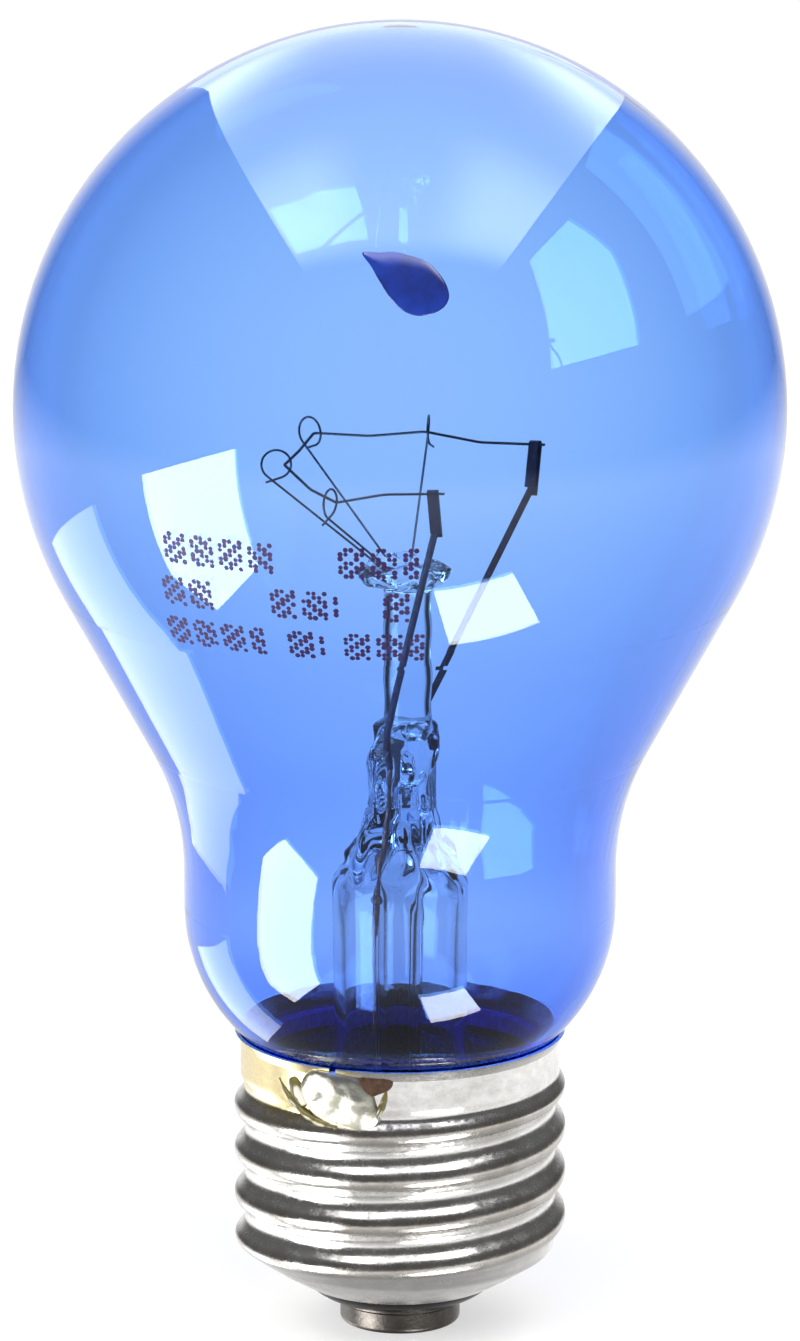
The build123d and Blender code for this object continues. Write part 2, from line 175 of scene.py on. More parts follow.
def studio_world():
    """White behind the object and through glass, soft light on it, and a dim room in its reflections."""
    world = bpy.data.worlds.new("studio")
    bpy.context.scene.world = world
    shader = Shader(world)
    path = shader.add("LightPath")
    direction = shader.add("TexCoord").outputs["Generated"]
    parts = shader.add("SeparateXYZ", {0: direction})
    behind = shader.ramp(parts.outputs["Y"], (0.87, 0.0), (0.97, 1.0))
    behind_wide = shader.ramp(parts.outputs["Y"], (0.5, 0.0), (0.75, 1.0))
    down = shader.math("MULTIPLY", parts.outputs["Z"], -1.0)
    below = shader.ramp(down, (0.12, 0.0), (0.25, 1.2), (0.32, 1.1), (0.5, 0.75), (0.9, 0.36))
    off_surface = shader.math("MAXIMUM", shader.math("MAXIMUM", behind, below), 0.1)
    off_inside = shader.math("MAXIMUM", behind_wide, 0.07)
    room = shader.mix(path.outputs["Is Transmission Ray"], off_surface, off_inside)
    mirrored = shader.mirrored(path)
    seen_white = shader.math("SUBTRACT", shader.passing(path), mirrored, True)
    seen = backdrop_share(shader, path, shader.math("ABSOLUTE", parts.outputs["Y"]))
    white = shader.add("Background", {"Color": (1, 1, 1, 1), "Strength": seen})
    soft = shader.add("Background", {"Color": (1, 1, 1, 1), "Strength": 0.8})
    glossy = shader.add("Background", {"Color": (1, 1, 1, 1), "Strength": room})
    other = shader.add("MixShader", {0: mirrored, 1: soft.outputs[0], 2: glossy.outputs[0]})
    both = shader.add("MixShader", {0: seen_white, 1: other.outputs[0], 2: white.outputs[0]})
    shader.output(both.outputs[0], kind="OutputWorld")


studio_world()


def new_piece(name, points, faces, material, slot, node=None, smooth=True):
    """A mesh piece from points in millimetres. It rides on the one body and may stand for a CAD node."""
    mesh = bpy.data.meshes.new(name)
    mesh.from_pydata([Vector(point) * MM for point in points], [], faces)
    mesh.validate()
    if smooth:
        mesh.shade_smooth()
    mesh.materials.append(material)
    piece = bpy.data.objects.new(name, mesh)
    bpy.context.scene.collection.objects.link(piece)
    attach(piece, "root")
    if node:
        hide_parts(node)


def stage_face(name, corners):
    """One flat face of the studio, with corners in metres."""
    mesh = bpy.data.meshes.new(name)
    mesh.from_pydata(corners, [], [tuple(range(len(corners)))])
    face = bpy.data.objects.new(name, mesh)
    bpy.context.scene.collection.objects.link(face)
    return face


def make_floor():
    """Pale floor that keeps the object's shadow. Reflections see the world's own pale ground."""
    half = 6.0
    floor = stage_face("floor", [(-half, -half, 0), (half, -half, 0), (half, half, 0), (-half, half, 0)])
    shader = Shader(bpy.data.materials.new("floor_pale"))
    path = shader.add("LightPath")
    level = shader.add("VectorMath", {0: shader.stretched(1, 1, 0)}, operation="NORMALIZE").outputs[0]
    ahead = shader.math("ABSOLUTE", shader.add("SeparateXYZ", {0: level}).outputs["Y"])
    share = backdrop_share(shader, path, ahead)
    lift = shader.math("MULTIPLY", shader.math("MULTIPLY", shader.passing(path), share), 0.55)
    matt = shader.add("BsdfDiffuse", {"Color": shader.math("MULTIPLY", share, 0.55)})
    glow = shader.add("Emission", {"Color": (1, 1, 1, 1), "Strength": lift})
    both = shader.add("AddShader", {0: matt.outputs[0], 1: glow.outputs[0]})
    mirrored = shader.mirrored(path)
    open_ground = shader.add("BsdfTransparent")
    ground = shader.add("MixShader", {0: mirrored, 1: both.outputs[0], 2: open_ground.outputs[0]})
    floor.data.materials.append(shader.output(ground.outputs[0]))
    floor.visible_glossy = False


make_floor()


def make_panel(name, corners, *layers):
    """Light panel that only mirrored rays see. Its glow is the sum of layers, each a strength and its fades.

    A fade is (Y or side, start, end, share at the start, share at the end), in metres.
    """
    panel = stage_face(name, corners)
    shader = Shader(bpy.data.materials.new(name))
    parts = shader.add("SeparateXYZ", {0: shader.place()})
    places = {"Y": parts.outputs["Y"], "side": shader.math("ABSOLUTE", parts.outputs["X"])}
    level = shader.math("ADD", 0.0)
    for strength, *fades in layers:
        layer = shader.math("ADD", strength)
        for where, start, end, low, high in fades:
            inputs = {0: places[where], 1: start, 2: end, 3: low, 4: high}
            share = shader.add("MapRange", inputs, interpolation_type="SMOOTHSTEP")
            layer = shader.math("MULTIPLY", share.outputs[0], layer)
        level = shader.math("ADD", level, layer)
    glow = shader.add("Emission", {"Color": (1, 1, 1, 1), "Strength": level})
    clear = shader.add("BsdfTransparent")
    mirrored = shader.mirrored(shader.add("LightPath"))
    both = shader.add("MixShader", {0: mirrored, 1: clear.outputs[0], 2: glow.outputs[0]})
    panel.data.materials.append(shader.output(both.outputs[0]))
    panel.visible_camera = False
    panel.visible_diffuse = False
    panel.visible_shadow = False
    panel.visible_volume_scatter = False


# Overhead sweep, narrower towards the camera, with soft glares at its sides, far and near. Two low windows
# stand in front, to the left and right, and a strip behind on the left.
CEILING_Z = 1.0
make_panel(
    "overhead",
    [(-0.54, -0.66, CEILING_Z), (0.55, -0.66, CEILING_Z), (1.06, 2.46, CEILING_Z), (3.2, 16.0, CEILING_Z),
     (-3.0, 16.0, CEILING_Z), (-0.86, 2.35, CEILING_Z)],
    (1.0, ("Y", -0.66, -0.42, 0.0, 1.0), ("Y", -0.66, 0.8, 2.6, 1.7)),
    (2.2, ("side", 0.25, 0.85, 0.0, 1.0), ("Y", 0.2, 1.4, 0.0, 1.0), ("Y", 4.0, 1.8, 0.0, 1.0)),
    (2.6, ("side", 0.1, 0.38, 0.0, 1.0), ("Y", -0.62, -0.3, 0.0, 1.0), ("Y", 0.35, -0.15, 0.0, 1.0)),
)
make_panel(
    "window_left",
    [(-0.96, -0.15, -0.15), (-0.75, -0.66, 0.03), (-0.60, -0.57, -0.49), (-0.67, -0.22, -0.64), (-0.81, -0.11, -0.51)],
    (13.0,),
)
make_panel(
    "window_low",
    [(0.15, -0.73, -0.60), (0.49, -0.64, -0.52), (0.54, -0.35, -0.70), (0.20, -0.46, -0.80)],
    (13.0,),
)
make_panel(
    "strip_left",
    [(-0.90, 0.27, -0.28), (-0.53, 0.76, -0.31), (-0.38, 0.60, -0.63), (-0.62, 0.20, -0.80)],
    (3.2,),
)


def make_lamp(name, place, size, power):
    """Soft area lamp aimed at the object, left out of reflections."""
    data = bpy.data.lights.new(name, "AREA")
    data.size = size
    data.energy = power
    lamp = bpy.data.objects.new(name, data)
    bpy.context.scene.collection.objects.link(lamp)
    lamp.location = place
    lamp.rotation_mode = "QUATERNION"
    lamp.rotation_quaternion = (Vector((0, 0, 0.05)) - lamp.location).to_track_quat("-Z", "Y")
    lamp.visible_glossy = False
    lamp.visible_transmission = False


make_lamp("lamp_top", (0.1, -0.3, 1.1), 0.7, 5.0)
make_lamp("lamp_left", (-0.8, -0.6, 0.5), 0.5, 3.0)


# Materials

def glass(name, shadow_tint, absorption, density, height_stops=()):
    """Clear glass with its colour in the body. Light from the lamps passes it. The tint may change with height."""
    shader = Shader(bpy.data.materials.new(name))
    inputs = {"Base Color": (1, 1, 1, 1), "Roughness": 0.0, "IOR": 1.48, "Transmission Weight": 1.0}
    surface = shader.add("BsdfPrincipled", inputs)
    if height_stops:
        parts = shader.add("SeparateXYZ", {0: shader.place()})
        height = shader.add("MapRange", {0: parts.outputs["Z"], 1: 0.0, 2: 0.1, 3: 0.0, 4: 1.0}, clamp=True)
        facing = shader.add("LayerWeight", {"Blend": 0.5}).outputs["Facing"]
        edge = shader.ramp(facing, (0.0, 1.0), (0.3, 0.92), (0.8, 0.84))
        level = shader.math("MULTIPLY", shader.ramp(height.outputs[0], *height_stops), edge)
        colour = shader.add("CombineColor", {0: level, 1: shader.math("POWER", level, 0.72), 2: 1.0})
        shader.tree.links.new(colour.outputs[0], surface.inputs["Base Color"])
    passed = shader.add("BsdfTransparent", {"Color": shadow_tint})
    path = shader.add("LightPath")
    both = shader.add("MixShader", {0: path.outputs["Is Shadow Ray"], 1: surface.outputs[0], 2: passed.outputs[0]})
    volume = shader.add("VolumeAbsorption", {"Color": absorption, "Density": density})
    return shader.output(both.outputs[0], volume.outputs[0])


def metal(name, colour, dark, roughness, rough_spread, grain, bump, tarnish=0.5):
    """Metal whose colour and roughness vary with a fine grain."""
    shader = Shader(bpy.data.materials.new(name))
    mottle = shader.noise(grain, 4.0, 0.6)
    fine = shader.noise(grain * 6, 3.0)
    share = shader.ramp(mottle, (0.35, 0.0), (0.35 + tarnish, 1.0))
    inputs = {
        "Base Color": shader.mix(share, colour, dark),
        "Metallic": 1.0,
        "Roughness": shader.math("ADD", roughness, shader.math("MULTIPLY", fine, rough_spread)),
        "Normal": shader.bump(fine, bump),
    }
    return shader.output(shader.add("BsdfPrincipled", inputs).outputs[0])


def cap_metal():
    """Bright tinned sheet: scuffs, wear on the crests, old varnish beside the solder, and painted dark blue shade on
    the inside.
    """
    shader = Shader(bpy.data.materials.new("cap_metal"))
    place = shader.place()
    parts = shader.add("SeparateXYZ", {0: place})
    flat = shader.add("VectorMath", {0: place, 1: (1, 1, 0)}, operation="MULTIPLY")
    radius = shader.add("VectorMath", {0: flat.outputs[0]}, operation="LENGTH").outputs["Value"]
    azimuth = shader.math("ARCTAN2", parts.outputs["X"], shader.math("MULTIPLY", parts.outputs["Y"], -1.0))
    mottle = shader.noise(260.0, 5.0, 0.6)
    scuffs = shader.noise(900.0, 4.0, 0.65, shader.stretched(1, 1, 1.6))
    crest = shader.add("MapRange", {0: radius, 1: 0.01278, 2: 0.01308, 3: 0.0, 4: 1.0}, clamp=True).outputs[0]
    worn = shader.math("MULTIPLY", crest, shader.ramp(mottle, (0.3, 0.35), (0.7, 1.0)))
    sheet = shader.mix(shader.ramp(mottle, (0.4, 0.0), (0.75, 1.0)), (0.90, 0.89, 0.87, 1), (0.72, 0.70, 0.67, 1))
    worn_sheet = shader.mix(worn, sheet, (0.50, 0.46, 0.41, 1))
    wobble = shader.math("MULTIPLY", shader.math("SUBTRACT", shader.noise(300.0, 3.0), 0.5), 0.5)
    side = shader.math("ADD", azimuth, wobble)
    left = shader.ramp(shader.math("ADD", side, 1.9), (0.15, 0.0), (0.3, 1.0))
    right = shader.ramp(shader.math("ADD", side, 1.0), (0.55, 1.0), (0.8, 0.0))
    height = shader.math("ADD", parts.outputs["Z"], shader.math("MULTIPLY", wobble, 0.004))
    low = shader.add("MapRange", {0: height, 1: 0.0188, 2: 0.0198, 3: 0.0, 4: 1.0}, clamp=True).outputs[0]
    stain = shader.math("MULTIPLY", shader.math("MULTIPLY", left, right), low)
    varnished = shader.mix(shader.math("MULTIPLY", stain, 0.8), worn_sheet, (0.74, 0.60, 0.26, 1))
    normal = shader.add("NewGeometry").outputs["Normal"]
    outward = shader.add("VectorMath", {0: normal, 1: flat.outputs[0]}, operation="DOT_PRODUCT").outputs["Value"]
    # Painted shade: faces that look into the shell are coloured dark blue for the shadow in the recess seen through
    # the blue glass; the sheet there is the same tinned metal.
    inside = shader.math("MULTIPLY", shader.math("LESS_THAN", outward, 0.0), shader.math("LESS_THAN", radius, 0.01275))
    inputs = {
        "Base Color": shader.mix(inside, varnished, (0.01, 0.03, 0.22, 1)),
        "Metallic": 1.0,
        "Roughness": shader.ramp(scuffs, (0.3, 0.18), (0.75, 0.34)),
        "Normal": shader.bump(scuffs, 0.00002, 0.3),
    }
    return shader.output(shader.add("BsdfPrincipled", inputs).outputs[0])


def plain(name, colour, dark, roughness, grain, bump, coat=0.0, specular=0.5):
    """Non-metal with mottled colour and a fine surface grain."""
    shader = Shader(bpy.data.materials.new(name))
    mottle = shader.noise(grain, 4.0, 0.6)
    inputs = {
        "Base Color": shader.mix(shader.ramp(mottle, (0.3, 0.0), (0.7, 1.0)), colour, dark),
        "Roughness": shader.math("ADD", roughness, shader.math("MULTIPLY", mottle, 0.15)),
        "Normal": shader.bump(mottle, bump),
        "Specular IOR Level": specular,
        "Coat Weight": coat,
        "Coat Roughness": 0.05,
    }
    return shader.output(shader.add("BsdfPrincipled", inputs).outputs[0])


# Share of the 100 mm height, and how pale the glass is there
BLUE_GLASS_HEIGHTS = ((0.24, 0.6), (0.30, 0.84), (0.40, 0.75), (0.50, 0.84), (0.62, 0.96), (0.75, 1.0))
BLUE_GLASS = glass("blue_glass", (0.45, 0.68, 1, 1), (0.0, 0.485, 1.0, 1), 950.0, BLUE_GLASS_HEIGHTS)
CLEAR_GLASS = glass("clear_glass", (0.95, 0.97, 1, 1), (0.55, 0.8, 0.9, 1), 40.0)
TUNGSTEN = metal("tungsten", (0.08, 0.09, 0.11, 1), (0.03, 0.03, 0.04, 1), 0.35, 0.2, 3000.0, 0.000004)
SUPPORT_METAL = metal("support_metal", (0.12, 0.13, 0.16, 1), (0.05, 0.05, 0.07, 1), 0.3, 0.2, 2000.0, 0.000004)
LEAD_METAL = metal("lead_metal", (0.07, 0.07, 0.09, 1), (0.02, 0.02, 0.03, 1), 0.4, 0.25, 900.0, 0.00001)
COPPER = metal("copper", (0.42, 0.22, 0.14, 1), (0.18, 0.1, 0.08, 1), 0.35, 0.2, 1200.0, 0.00001)
CAP_METAL = cap_metal()
SOLDER = metal("solder", (0.90, 0.90, 0.80, 1), (0.60, 0.56, 0.38, 1), 0.30, 0.2, 900.0, 0.00002)
CONTACT = metal("contact", (0.11, 0.10, 0.09, 1), (0.05, 0.045, 0.04, 1), 0.22, 0.3, 700.0, 0.00002)
BLACK_GLASS = plain(
    "black_glass", (0.010, 0.010, 0.012, 1), (0.016, 0.014, 0.016, 1), 0.2, 300.0, 0.00001, 0.0, 0.2
)
# Painted shade: the basing cement is tan, but is coloured dark blue as it looks in the shaded throat through the blue
# glass.
CEMENT_PAINTED_BLUE_SHADE = plain("cement", (0.04, 0.1, 0.6, 1), (0.02, 0.05, 0.3, 1), 0.8, 900.0, 0.00005)
FLUX = plain("flux", (0.30, 0.26, 0.07, 1), (0.12, 0.10, 0.03, 1), 0.12, 900.0, 0.00001, 0.6)
RESIDUE = plain("residue", (0.07, 0.028, 0.015, 1), (0.16, 0.10, 0.06, 1), 0.55, 1500.0, 0.00012, 0.0, 0.25)
INK = plain("ink", (0.045, 0.012, 0.13, 1), (0.02, 0.005, 0.07, 1), 0.45, 2500.0, 0.000004)
BLOT = plain("blot", (0.014, 0.06, 0.50, 1), (0.008, 0.02, 0.16, 1), 0.06, 260.0, 0.00003, 1.0)

NODE_MATERIALS = {
    "envelope": BLUE_GLASS,
    "stem": CLEAR_GLASS,
    "exhaust_tube": CLEAR_GLASS,
    "arbor_rod": CLEAR_GLASS,
    "filament": TUNGSTEN,
    "support_wire_1": SUPPORT_METAL,
    "support_wire_2": SUPPORT_METAL,
    "support_wire_3": SUPPORT_METAL,
    "support_wire_4": SUPPORT_METAL,
    "inner_lead_near": LEAD_METAL,
    "inner_lead_far": LEAD_METAL,
    "seal_wire_near": COPPER,
    "seal_wire_far": COPPER,
    "outer_lead_side": COPPER,
    "outer_lead_centre": COPPER,
    "screw_shell": CAP_METAL,
    "insulator": BLACK_GLASS,
    "centre_contact": CONTACT,
    "centre_solder": SOLDER,
    "side_solder": SOLDER,
    "basing_cement": CEMENT_PAINTED_BLUE_SHADE,
}
for name, material in NODE_MATERIALS.items():
    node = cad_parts[name]
    node.data.materials.clear()
    node.data.materials.append(material)


# Geometry helpers

def skin(rings, start=0):
    """Points and faces of a skin over rings of equally many points. A ring of one point closes an end."""
    points = []
    faces = []
    places = []
    for ring in rings:
        places.append(start + len(points))
        points += ring
    for (low, low_ring), (high, high_ring) in zip(zip(places, rings), zip(places[1:], rings[1:])):
        count = max(len(low_ring), len(high_ring))
        for step in range(count):
            after = (step + 1) % count
            if len(low_ring) == 1:
                faces.append((low, high + after, high + step))
            elif len(high_ring) == 1:
                faces.append((low + step, low + after, high))
            else:
                faces.append((low + step, low + after, high + after, high + step))
    return points, faces


def around(count, radius_at, height, x=0.0):
    """Ring about an upright axis through (x, 0); the radius may change with the angle."""
    ring = []
    for step in range(count):
        angle = 2 * math.pi * step / count
        radius = radius_at(angle) if callable(radius_at) else radius_at
        ring.append(Vector((x + radius * math.cos(angle), radius * math.sin(angle), height)))
    return ring


def tube(path, radius, sides):
    """Rings of a round wire along a path, closed at both tips. The radius may be a number or one for each point."""
    radii = radius if isinstance(radius, list) else [radius] * len(path)
    rings = []
    across = None
    for place, (point, size) in enumerate(zip(path, radii)):
        run = (path[min(place + 1, len(path) - 1)] - path[max(place - 1, 0)]).normalized()
        if across is None:
            across = run.orthogonal().normalized()
        across = (across - run * across.dot(run)).normalized()
        side = run.cross(across)
        turns = [2 * math.pi * step / sides for step in range(sides)]
        rings.append([point + (across * math.cos(turn) + side * math.sin(turn)) * size for turn in turns])
    return [[path[0].copy()], *rings, [path[-1].copy()]]


def rounded(corners, radii, steps=8):
    """Points along straight runs whose corners are rounded off."""
    points = [corners[0].copy()]
    for before, corner, after, radius in zip(corners, corners[1:], corners[2:], radii):
        back = (before - corner).normalized()
        ahead = (after - corner).normalized()
        turn = math.pi - back.angle(ahead)
        reach = min(radius * math.tan(turn / 2), (before - corner).length / 2, (after - corner).length / 2)
        first = corner + back * reach
        last = corner + ahead * reach
        for step in range(steps + 1):
            share = step / steps
            points.append(first * (1 - share) ** 2 + corner * 2 * share * (1 - share) + last * share**2)
    points.append(corners[-1].copy())
    return points


def fade(value, start, end):
    """0 at the start, 1 at the end, with a smooth step between."""
    share = min(1.0, max(0.0, (value - start) / (end - start)))
    return share * share * (3 - 2 * share)


def place(azimuth, radius, height, x=0.0):
    turn = math.radians(azimuth)
    return Vector((x + radius * math.cos(turn), radius * math.sin(turn), height))


# Glass mount

AROUND = 144
# Radius and height of the hollow inside, from the blow hole down
CAVITY = (
    (0.5, 44.5), (0.85, 43.8), (1.0, 42.6), (1.3, 41.9), (1.86, 41.6), (1.86, 40.2), (2.0, 39.3), (2.9, 38.0),
    (3.7, 36.9), (4.2, 35.8), (4.4, 34.6), (4.4, 31.0), (4.4, 28.0),
)
# Middle, half sizes and seed of each air bubble in the press
BUBBLES = (
    (Vector((0.3, -0.9, 46.0)), Vector((0.45, 0.35, 0.8)), 1.0),
    (Vector((-0.9, -0.6, 43.4)), Vector((0.3, 0.3, 0.75)), 2.0),
    (Vector((1.3, -0.2, 44.9)), Vector((0.5, 0.4, 0.6)), 4.0),
    (Vector((0.8, 0.2, 47.9)), Vector((0.75, 0.6, 0.4)), 5.0),
    (Vector((1.6, 0.9, 42.3)), Vector((0.35, 0.3, 0.9)), 6.0),
)


def press_size(height):
    """Half length and half width of the press at a height, smooth between its sections."""
    over = height - STEM_SHOULDER_Z
    for (low, low_length, low_width), (high, high_length, high_width) in zip(PRESS_SECTIONS, PRESS_SECTIONS[1:]):
        if over <= high:
            share = fade(over, low, high)
            return low_length + (high_length - low_length) * share, low_width + (high_width - low_width) * share
    return PRESS_SECTIONS[-1][1:]


def lumpy(point, amount, size, seed):
    """Push a point by smooth noise, as glass that was worked hot."""
    where = point / size + Vector((seed, 2 * seed, 3 * seed))
    return point + noise.noise_vector(where) * amount


def press_ring(height):
    """Ring of the press at a height, pushed about as the tongs left it."""
    half_length, half_width = press_size(max(height, STEM_SHOULDER_Z))
    half_length *= 1 - 0.3 * fade(height, 45.8, 48.7)
    lead = math.radians(PRESS_AZIMUTH)
    amount = fade(height, 35.5, 38.5)
    ring = []
    for step in range(AROUND):
        turn = 2 * math.pi * step / AROUND
        across = Vector((math.cos(lead), math.sin(lead), 0)) * math.cos(turn - lead) * half_length
        beside = Vector((-math.sin(lead), math.cos(lead), 0)) * math.sin(turn - lead) * half_width
        point = across + beside + Vector((0, 0, height))
        folds = noise.noise(Vector((math.cos(turn) * 1.6, math.sin(turn) * 1.6, height / 5.5)))
        ripples = noise.noise(Vector((point.x / 1.1, point.y / 1.1, height / 2.2 + 4)))
        ring.append(point + (across + beside).normalized() * amount * (1.1 * folds + 0.35 * ripples - 0.15))
    return ring


def make_stem():
    """Flare tube and press in one skin, with the hollow inside and the air bubbles that the tongs shut in."""
    reach = THROAT_BORE_R - STEM_R
    drop = FLARE_TOP_Z - FLARE_RIM_Z
    outer_r = (reach**2 + drop**2) / (2 * reach)
    inner_r = outer_r + STEM_R - STEM_BORE_R
    outer_turn = math.asin(drop / outer_r)
    inner_turn = math.asin(math.sqrt(inner_r**2 - (outer_r - reach) ** 2) / inner_r)
    centre = STEM_R + outer_r
    steps = 16
    hollow = [[Vector((0, 0, 44.8))]]
    for radius, height in CAVITY:
        ring = around(AROUND, radius, height)
        hollow.append([lumpy(point, 0.4 * fade(height, 34.5, 37.0), 1.6, 11.0) for point in ring])
    for step in range(steps + 1):
        turn = inner_turn * step / steps
        hollow.append(around(AROUND, centre - inner_r * math.cos(turn), FLARE_TOP_Z - inner_r * math.sin(turn)))
    outside = []
    for step in range(steps + 1):
        turn = outer_turn * (1 - step / steps)
        outside.append(around(AROUND, centre - outer_r * math.cos(turn), FLARE_TOP_Z - outer_r * math.sin(turn)))
    top = STEM_SHOULDER_Z + PRESS_SECTIONS[-1][0]
    count = int((top - FLARE_TOP_Z) / 0.25)
    outside += [press_ring(FLARE_TOP_Z + (top - FLARE_TOP_Z) * step / count) for step in range(1, count + 1)]
    crown = outside[-1]
    middle = Vector((ARBOR_X, 0, top))
    for shrink, lift in ((0.95, 0.2), (0.85, 0.4), (0.72, 0.55)):
        outside.append([middle + (point - middle) * shrink + Vector((0, 0, lift)) for point in crown])
    outside.append([middle + Vector((0, 0, 0.5))])
    points, faces = skin([*hollow, *outside])
    for middle, size, seed in BUBBLES:
        rings = [[middle + Vector((0, 0, size.z))]]
        for level in range(1, 12):
            angle = math.pi * level / 12
            ring = around(24, math.sin(angle), math.cos(angle))
            rings.append([middle + lumpy(Vector(map(mul, point, size)), 0.3, 0.7, seed) for point in ring])
        rings.append([middle - Vector((0, 0, size.z))])
        more_points, more_faces = skin(rings, len(points))
        points += more_points
        faces += more_faces
    return points, faces


def make_arbor():
    """Glass rod with its lumpy button, in which the supports are set."""
    rings = [[Vector((ARBOR_X, 0, 47.6))]]
    levels = [(0.9, 47.65), (1.6, 47.9), (1.87, 48.4)]
    height = 49.0
    while height < 59.6:
        levels.append((ARBOR_R * (1 + 0.03 * math.sin(height * 1.7)), height))
        height += 0.3
    levels += [(2.0, 59.7), (2.3, 59.95), (2.8, 60.2), (3.15, 60.45), (3.3, 60.75), (3.35, 61.05), (3.2, 61.35)]
    levels += [(2.85, 61.6), (2.3, 61.7), (1.5, 61.62), (0.7, 61.58)]
    for radius, height in levels:
        knob = fade(radius, 2.0, 3.0)
        crown = fade(height, 59.6, 60.4)

        def radius_at(angle):
            lobes = max(math.cos(angle - math.radians(hook[0])) for hook in HOOKS)
            return radius * (1 + knob * (0.13 * fade(lobes, 0.8, 1.0) - 0.04))

        ring = around(96, radius_at, height, ARBOR_X)
        rings.append([lumpy(point, 0.7 * crown, 1.3, 5.0) for point in ring])
    rings.append([Vector((ARBOR_X, 0, 61.55))])
    return skin(rings)


# Filament

def filament_route():
    """The coil's middle line: over the four supports, between the two clamps, with a short tail past each."""
    stations = [place(*station, x=ARBOR_X) for station in (FAR_CLAMP, *HOOKS, NEAR_CLAMP)]
    route = []
    for start, end, sag in zip(stations, stations[1:], SPAN_SAGS):
        route += [start, (start + end) / 2 - Vector((0, 0, sag))]
    route.append(stations[-1])
    route[0] -= (route[1] - route[0]).normalized() * FILAMENT_TAIL
    route[-1] -= (route[-2] - route[-1]).normalized() * FILAMENT_TAIL
    radii = [FILAMENT_SAG_R, *[FILAMENT_BEND_R, FILAMENT_SAG_R] * len(HOOKS)]
    return rounded(route, radii)


def walk(path, pitch):
    """Points every pitch along a path."""
    points = [path[0].copy()]
    left = pitch
    for start, end in zip(path, path[1:]):
        length = (end - start).length
        while length > 0 and left <= length:
            points.append(start.lerp(end, left / (end - start).length))
            left += pitch
        left -= length
    return points


def make_filament():
    """Close coil of fine wire along the route."""
    steps_per_turn = 9
    coil_pitch = 0.1
    wire_r = 0.04
    coil_r = FILAMENT_D / 2 - wire_r
    line = walk(filament_route(), coil_pitch / steps_per_turn)
    across = None
    helix = []
    for place_on, point in enumerate(line):
        run = (line[min(place_on + 1, len(line) - 1)] - line[max(place_on - 1, 0)]).normalized()
        if across is None:
            across = run.orthogonal().normalized()
        across = (across - run * across.dot(run)).normalized()
        turn = 2 * math.pi * place_on / steps_per_turn
        helix.append(point + (across * math.cos(turn) + run.cross(across) * math.sin(turn)) * coil_r)
    return skin(tube(helix, wire_r, 5))


# Solder, flux, mark and print

def on_cap(azimuth, height, lift):
    return place(azimuth, COLLAR_R + lift, height)


def make_drop(azimuth, height, length, width, proud, tilt, seed):
    """Lumpy drop on the collar, longer along a line tilted down to the right."""
    count = 96
    levels = 20
    lip_z = 23.7
    turned = math.radians(tilt)
    rings = [[place(azimuth, COLLAR_R - 0.15, height)]]
    for level in range(levels):
        reach = 1 - level / levels
        dome = math.sqrt(1 - reach**2.4)
        ring = []
        for step in range(count):
            turn = 2 * math.pi * step / count
            wobble = reach * (1 + 0.16 * noise.noise(Vector((math.cos(turn) * 1.3, math.sin(turn) * 1.3, seed + 3))))
            along = length / 2 * wobble * math.cos(turn)
            across = width / 2 * wobble * math.sin(turn)
            right = along * math.cos(turned) + across * math.sin(turned)
            up = across * math.cos(turned) - along * math.sin(turned)
            coarse = noise.noise(Vector((right * 0.55, up * 0.55, seed)))
            fine = noise.noise(Vector((right, up, seed + 1)) * 1.8)
            lift = min(proud, proud * dome * (0.85 + 0.4 * coarse + 0.05 * fine)) - 0.05
            ring.append(on_cap(azimuth + math.degrees(right / COLLAR_R), min(height + up, lip_z), lift))
        rings.append(ring)
    rings.append([sum(rings[-1], Vector()) / count])
    return skin(rings)


# Azimuth, height, length, width, height over the collar, tilt and seed of each drop
SIDE_SOLDER_DROP = (247.5, 21.5, 6.9, 4.7, 0.95, 24.0, 1.0)
RESIDUE_DROP = (259.5, 22.8, 3.4, 1.9, 0.45, -12.0, 6.0)
VARNISH_DROP = (231.0, 21.6, 2.6, 1.6, 0.3, 58.0, 9.0)

# Azimuth and height
FLUX_LINE = (
    (221.6, 22.3), (224.0, 21.6), (227.7, 20.9), (233.6, 19.9), (239.5, 19.45), (244.8, 19.25),
    (249.5, 19.0), (253.8, 18.95), (258.0, 19.3), (261.3, 20.1), (263.8, 21.2), (265.2, 22.4), (264.5, 23.3),
)


def make_flux():
    """Amber ridge of hardened flux that ran round the solder's lower side."""
    path = rounded([on_cap(azimuth, height, 0.0) for azimuth, height in FLUX_LINE], [3.0] * (len(FLUX_LINE) - 2), 6)
    path = walk(path, 0.12)
    radii = []
    for step, point in enumerate(path):
        end = min(step, len(path) - 1 - step) / len(path)
        radii.append(0.06 + 0.22 * fade(end, 0.0, 0.15) * (1 + 0.6 * noise.noise(point * 1.3)))
    return skin(tube(path, radii, 12))


# Azimuth from the front and elevation on the ball, in degrees
BLOT_LINE = (
    (-6.6, 35.3), (-3.6, 35.4), (-1.0, 35.5), (1.5, 35.0), (4.4, 34.1), (6.2, 32.6), (7.6, 30.6), (8.0, 28.6),
    (7.0, 27.0), (4.7, 26.0), (2.4, 25.9), (0.2, 26.8), (-1.7, 28.6), (-3.3, 30.8), (-4.8, 33.0),
)


def on_ball(azimuth, elevation, lift):
    """Point on the ball: azimuth from the front, to the right, and elevation, in degrees."""
    turn, rise = math.radians(azimuth), math.radians(elevation)
    radius = BALL_R + lift
    return Vector((
        radius * math.sin(turn) * math.cos(rise),
        -radius * math.cos(turn) * math.cos(rise),
        BALL_Z + radius * math.sin(rise),
    ))


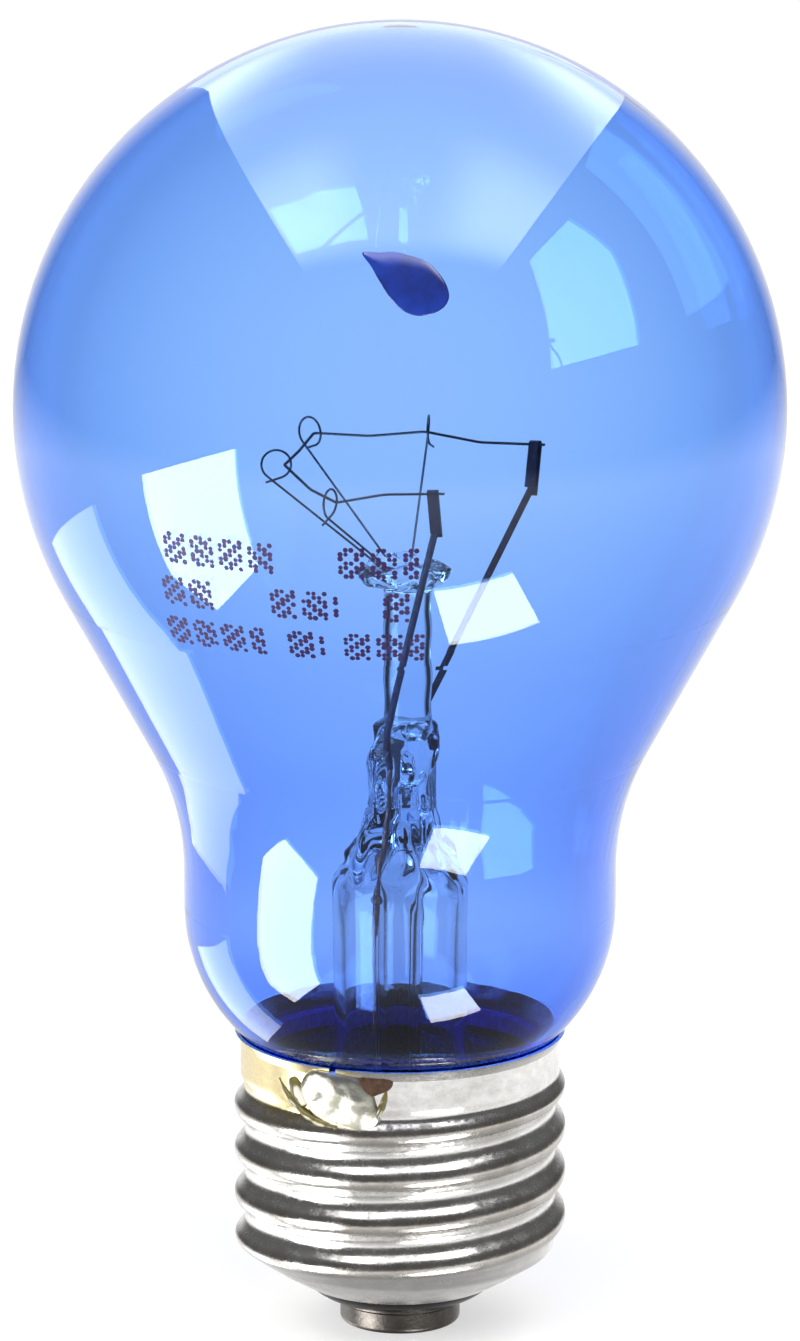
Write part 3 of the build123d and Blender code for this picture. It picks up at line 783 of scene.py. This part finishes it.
def smooth_loop(points, steps):
    """Closed smooth line through points of two numbers."""
    line = []
    count = len(points)
    for place_on in range(count):
        a, b, c, d = (Vector(points[(place_on + shift) % count]) for shift in (-1, 0, 1, 2))
        for step in range(steps):
            t = step / steps
            square = (2 * a - 5 * b + 4 * c - d) * t * t
            cube = (3 * b - a - 3 * c + d) * t**3
            line.append(0.5 * (2 * b + (c - a) * t + square + cube))
    return line


def make_blot():
    """Leaf-shaped drop of darker dye on the glass."""
    line = smooth_loop(BLOT_LINE, 6)
    middle = sum(line, Vector((0, 0))) / len(line)
    thickness = 0.09
    rings = [[on_ball(*middle, -0.03)]]
    for reach in (0.4, 0.8, 1.0):
        rings.append([on_ball(*(middle + (point - middle) * reach), -0.03) for point in line])
    for reach in (0.985, 0.95, 0.88, 0.78, 0.6, 0.4, 0.2):
        lift = thickness * math.sqrt(1 - reach**4)
        rings.append([on_ball(*(middle + (point - middle) * reach), lift) for point in line])
    rings.append([on_ball(*middle, thickness)])
    return skin(rings)


# Elevation of each row, and the azimuths between which its blocks stand
PRINT_ROWS = (
    (-10.3, ((-36.7, -16.9), (-8.7, 3.7))),
    (-17.4, ((-38.2, -29.0), (-19.5, -8.2), (-2.2, 3.1))),
    (-24.3, ((-39.3, -20.5), (-17.5, -11.5), (-8.5, 4.8))),
)


def make_print():
    """Three worn rows of plain hatched blocks made of dots, with no letters."""
    points = []
    faces = []
    sides = 8
    dot_r = 0.205
    pitch = 0.41
    rows = 7
    picks = random.Random(11)
    for elevation, fields in PRINT_ROWS:
        along = BALL_R * math.cos(math.radians(elevation))
        for first, last in fields:
            columns = int(math.radians(last - first) * along / pitch)
            for column in range(columns):
                block, within = divmod(column, 6)
                for row in range(rows):
                    stripe = (within + (row if block % 2 else -row)) % 3 != 0
                    if within == 5 or not stripe or picks.random() < 0.04:
                        continue
                    azimuth = first + math.degrees(column * pitch / along)
                    rise = elevation + math.degrees((row - (rows - 1) / 2) * 0.36 / BALL_R)
                    size = dot_r * picks.uniform(0.85, 1.1)
                    start = len(points)
                    for lift in (-0.01, 0.008):
                        for step in range(sides):
                            turn = 2 * math.pi * step / sides
                            points.append(on_ball(
                                azimuth + math.degrees(size * math.cos(turn) / along),
                                rise + math.degrees(size * math.sin(turn) / BALL_R),
                                lift,
                            ))
                    top = start + sides
                    faces.append(tuple(range(top, top + sides)))
                    faces.append(tuple(reversed(range(start, top))))
                    for step in range(sides):
                        after = (step + 1) % sides
                        faces.append((start + step, start + after, top + after, top + step))
    return points, faces


new_piece("glass_mount", *make_stem(), CLEAR_GLASS, "clear_glass", "stem")
new_piece("glass_rod", *make_arbor(), CLEAR_GLASS, "clear_glass", "arbor_rod")
new_piece("filament_coil", *make_filament(), TUNGSTEN, "tungsten", "filament")
new_piece("solder_blob", *make_drop(*SIDE_SOLDER_DROP), SOLDER, "solder", "side_solder")
new_piece("burnt_residue", *make_drop(*RESIDUE_DROP), RESIDUE, "solder")
new_piece("varnish_drip", *make_drop(*VARNISH_DROP), FLUX, "solder")
new_piece("flux_ridge", *make_flux(), FLUX, "solder")
new_piece("dye_blot", *make_blot(), BLOT, "blue_glass")
new_piece("print_dots", *make_print(), INK, "blue_glass", smooth=False)
